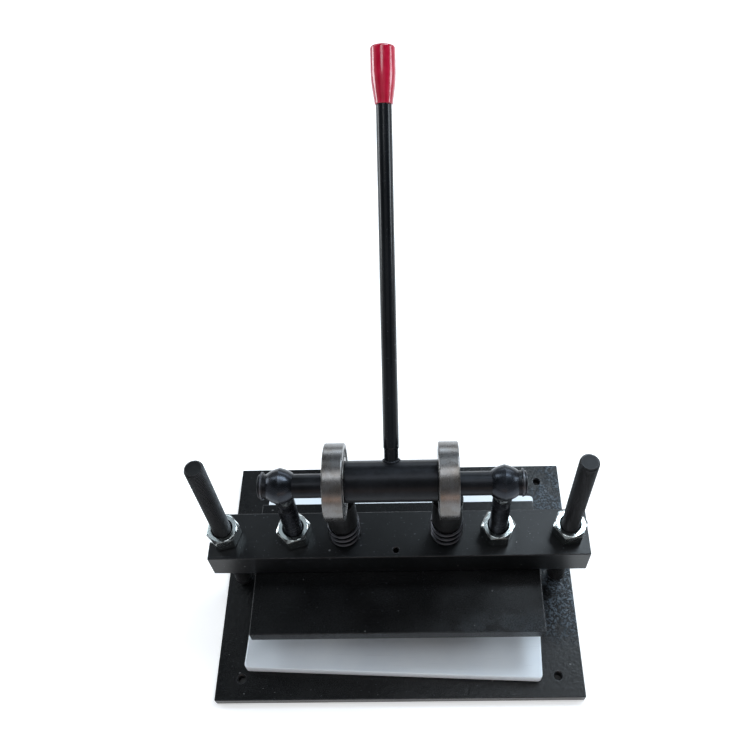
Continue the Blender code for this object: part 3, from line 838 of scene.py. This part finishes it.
def bearing_rings(prefix, half, outer_r, place):
    """The ground outer and inner ring, each with a ball groove and seal seats."""
    land, seat, step = 26.4 * MM, 26.9 * MM, 0.5 * MM
    outer = [(land, half - 1.6 * MM, 0), (seat, half - 1.6 * MM, 0), (seat, half, step),
             (outer_r, half, 1.1 * MM)]
    outer += [(p[0], -p[1], p[2]) for p in reversed(outer)]
    outer += [(28 * MM, -3.2 * MM, 0), (28.6 * MM, 0, 0), (28 * MM, 3.2 * MM, 0)]
    piece(prefix + "_outer_ring_ground", lathe(softened(outer, step, 4, True), 128, True), prefix,
          prefix + "_outer_ring", "bearing", place)
    inner_land, bore = 19.8 * MM, 15 * MM
    inner = [(inner_land, half, step), (inner_land, 4 * MM, 0), (18.6 * MM, 2.6 * MM, 0), (18 * MM, 0, 0),
             (18.6 * MM, -2.6 * MM, 0), (inner_land, -4 * MM, 0), (inner_land, -half, step),
             (bore, -half, 1 * MM), (bore, half, 1 * MM)]
    piece(prefix + "_inner_ring_ground", lathe(softened(inner, step, 4, True), 96, True), "lever",
          prefix + "_inner_ring", "bearing", place)


def bearing_seals(prefix, side, half, place):
    """The two lipped seals, just inside the rings' faces."""
    out, dip = half - 0.35 * MM, half - 0.7 * MM
    seal = [(26.6 * MM, out, 0.1 * MM), (26.6 * MM, out - 0.9 * MM, 0), (20.1 * MM, out - 0.9 * MM, 0),
            (20.1 * MM, out - 0.15 * MM, 0.1 * MM), (20.9 * MM, out, 0.3 * MM), (21.5 * MM, dip, 0.3 * MM),
            (25.0 * MM, dip, 0.3 * MM), (25.4 * MM, out, 0.1 * MM)]
    for face, direction in (("inner", -side), ("outer", side)):
        name = "{}_{}_seal".format(prefix, face)
        flip = Matrix.Rotation(math.pi, 4, "X") if direction < 0 else Matrix.Identity(4)
        piece(name + "_lipped", lathe(softened(seal, 0.1 * MM, 3, True), 96, True), prefix, name,
              "rubber", place @ flip)


def bearings():
    for label, side in SIDES:
        prefix = "bearing_" + label
        place = at(side * BEARING_X, 0, CRANK_Z) @ ALONG_X
        lo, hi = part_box(prefix + "_outer_ring")
        half = (hi[0] - lo[0]) / 2
        bearing_rings(prefix, half, hi[2] - CRANK_Z, place)
        bearing_seals(prefix, side, half, place)


# ---- lever ------------------------------------------------------------------
LEVER_PLACE = at(0, 0, CRANK_Z) @ Matrix.Rotation(-LEVER_TILT, 4, "X")


def lever_rod():
    """A rod that is very slightly wavy, with a narrower neck at the shaft and a spigot in the knob."""
    top, neck_end = KNOB_TOP - KNOB_LENGTH - 0.3 * MM, 26 * MM
    rod_end = neck_end + 0.8 * MM
    neck_r, rod_r, spigot_r = 5.75 * MM, 6.25 * MM, 4 * MM
    rows = 40
    profile = [(0, top + 20 * MM), (spigot_r, top + 20 * MM, 0.5 * MM), (spigot_r, top, 0),
               (rod_r, top, 0.5 * MM)]
    for i in range(1, rows):
        z = top + (rod_end - top) * i / rows
        profile.append((rod_r + 40 * MICRON * math.sin(z * 55), z, 0))
    profile += [(rod_r, rod_end, 0.3 * MM), (neck_r, neck_end, 0.2 * MM), (neck_r, 5 * MM, 0), (0, 5 * MM)]
    piece("lever_rod_painted", lathe(softened(profile, 0.3 * MM), 48), "lever", "lever_rod",
          "lever", LEVER_PLACE)


def lever_knob():
    """A tapered knob with a domed end and a hole for the rod's spigot."""
    foot, knob_r = KNOB_TOP - KNOB_LENGTH, 10 * MM
    shoulder = foot + 0.42 * KNOB_LENGTH
    profile = [(0, KNOB_TOP), (6 * MM, KNOB_TOP - 0.25 * MM, 2 * MM), (knob_r, KNOB_TOP - 1 * MM, 3 * MM),
               (knob_r, shoulder, 9 * MM), (7.5 * MM, foot + 2.6 * MM, 3 * MM), (7.2 * MM, foot, 0.6 * MM),
               (4.4 * MM, foot, 0.2 * MM), (4.3 * MM, foot + 21 * MM, 0), (0, foot + 21 * MM)]
    piece("lever_knob_moulded", lathe(softened(profile, 1 * MM, 8), 72), "lever", "lever_knob",
          "red", LEVER_PLACE, 40)


# ---- carried-over nodes -----------------------------------------------------
def dress_nodes():
    """The bearings' cages and balls keep their CAD shapes and get the finished materials."""
    for label, _ in SIDES:
        finishes = {"bearing_{}_cage".format(label): "cage"}
        finishes.update({"bearing_{}_ball_{}".format(label, i + 1): "bearing" for i in range(BALL_COUNT)})
        for name, key in finishes.items():
            for slot in frame["nodes"][name].material_slots:
                slot.material = MATERIALS[key]


# ---- stage, lights and camera -----------------------------------------------
def make_floor():
    """A pale floor, dark under the base so that its through holes look dark."""
    half, z = 4.0, CAD_BOX[0].z
    mesh = bpy.data.meshes.new("floor")
    corners = [(-half, -half, z), (half, -half, z), (half, half, z), (-half, half, z)]
    mesh.from_pydata(corners, [], [(0, 1, 2, 3)])
    g = Graph("pale_floor")
    tone = g.mix(g.spread(g.noise(3, 2), 0.3, 0.7), (0.88, 0.885, 0.89), (0.9, 0.905, 0.91))
    place = g.add("ShaderNodeSeparateXYZ")
    g.put(place.inputs[0], g.where)
    # painted shade: the floor is a dark sheet under the base, so the through holes look dark; outside the
    # base the floor glows a little to stay evenly pale
    outside = g.math("MAXIMUM", g.spread(g.math("ABSOLUTE", place.outputs[0]), 0.155, 0.165),
                     g.spread(g.math("ABSOLUTE", place.outputs[1]), 0.108, 0.116))
    g.set(Base_Color=g.mix(outside, (0.1, 0.1, 0.1), tone), Roughness=0.75, Specular_IOR_Level=0.2)
    g.set(Emission_Color=(1.0, 1.0, 1.0), Emission_Strength=g.math("MULTIPLY", outside, 0.45))
    mesh.materials.append(g.material)
    floor = bpy.data.objects.new("floor", mesh)
    bpy.context.scene.collection.objects.link(floor)


def area_light(name, place, target, size, power, color):
    """A rectangular soft light at a place, turned to its target."""
    light = bpy.data.lights.new(name, "AREA")
    light.shape = "RECTANGLE"
    light.size, light.size_y = size
    light.energy = power
    light.color = color
    obj = bpy.data.objects.new(name, light)
    bpy.context.scene.collection.objects.link(obj)
    obj.location = place
    obj.rotation_euler = (Vector(target) - Vector(place)).to_track_quat("-Z", "Y").to_euler()


def make_world():
    """A dim surround, lighter near the horizon than overhead."""
    world = bpy.data.worlds.new("studio")
    bpy.context.scene.world = world
    world.use_nodes = True
    tree = world.node_tree
    direction = tree.nodes.new("ShaderNodeTexCoord")
    part = tree.nodes.new("ShaderNodeSeparateXYZ")
    ramp = tree.nodes.new("ShaderNodeValToRGB")
    tree.links.new(direction.outputs["Generated"], part.inputs[0])
    tree.links.new(part.outputs[2], ramp.inputs[0])
    tree.links.new(ramp.outputs[0], tree.nodes["Background"].inputs[0])
    stops = ramp.color_ramp.elements
    stops[0].position, stops[0].color = 0.42, (0.42, 0.43, 0.45, 1)
    stops[1].position, stops[1].color = 0.62, (0.03, 0.032, 0.036, 1)


def make_lights():
    body, knob = (0, 0, 0.1), (0, 0.22, 0.39)
    area_light("back_right_softbox", (0.9, 0.95, 2.0), body, (1.0, 0.65), 30, (0.78, 0.9, 1.0))
    area_light("back_wide_softbox", (-0.3, 0.95, 2.0), body, (1.3, 0.6), 1.5, (0.8, 0.91, 1.0))
    area_light("back_low_softbox", (0.5, 2.1, 0.95), body, (2.4, 0.6), 15, (0.8, 0.91, 1.0))
    area_light("back_left_softbox", (-1.15, 0.85, 1.5), body, (0.5, 0.8), 6, (0.85, 0.94, 1.0))
    area_light("top_softbox", (0.1, -0.12, 2.3), body, (1.6, 0.54), 11, (0.9, 0.95, 1.0))
    area_light("front_softbox", (-0.2, -1.6, 2.4), body, (2.4, 1.5), 3, (0.92, 0.96, 1.0))
    area_light("left_softbox", (-1.44, 0.5, 0.5), knob, (0.7, 0.4), 7, (0.9, 0.96, 1.0))
    area_light("right_softbox", (1.44, 0.22, 0.82), knob, (0.55, 0.45), 6, (0.82, 0.92, 1.0))
    area_light("warm_fill", (0.1, -1.5, 0.45), body, (1.6, 0.35), 1.6, (1.0, 0.62, 0.42))


def make_camera():
    """The camera's position, direction, roll and focal length, in the frame's own space."""
    camera = bpy.data.cameras.new("camera")
    camera.sensor_width = 36
    camera.lens = 39.33
    camera.shift_x = -0.035
    camera.clip_start = 0.01
    obj = bpy.data.objects.new("camera", camera)
    bpy.context.scene.collection.objects.link(obj)
    place = Matrix.Translation((23.83 * MM, -314.37 * MM, 776.9 * MM))
    elevation, yaw, roll = math.radians(54.07), math.radians(-2.2), math.radians(-2.86)
    level = math.cos(elevation)
    forward = Vector((math.sin(yaw) * level, math.cos(yaw) * level, -math.sin(elevation)))
    right = Vector((math.cos(yaw), -math.sin(yaw), 0))
    up = right.cross(forward)
    right_rolled = math.cos(roll) * right + math.sin(roll) * up
    up_rolled = math.cos(roll) * up - math.sin(roll) * right
    axes = Matrix((right_rolled, up_rolled, -forward)).transposed().to_4x4()
    obj.matrix_world = place @ axes
    bpy.context.scene.camera = obj
    bpy.context.scene.view_settings.view_transform = "Standard"


make_camera()
base_plate()
cutting_board()
crossbeam()
platen()
columns()
nuts()
eye_bolts()
guide_posts()
springs()
eccentric_shaft()
weld_bead()
retaining_rings()
bearings()
lever_rod()
lever_knob()
dress_nodes()
make_floor()
make_world()
make_lights()
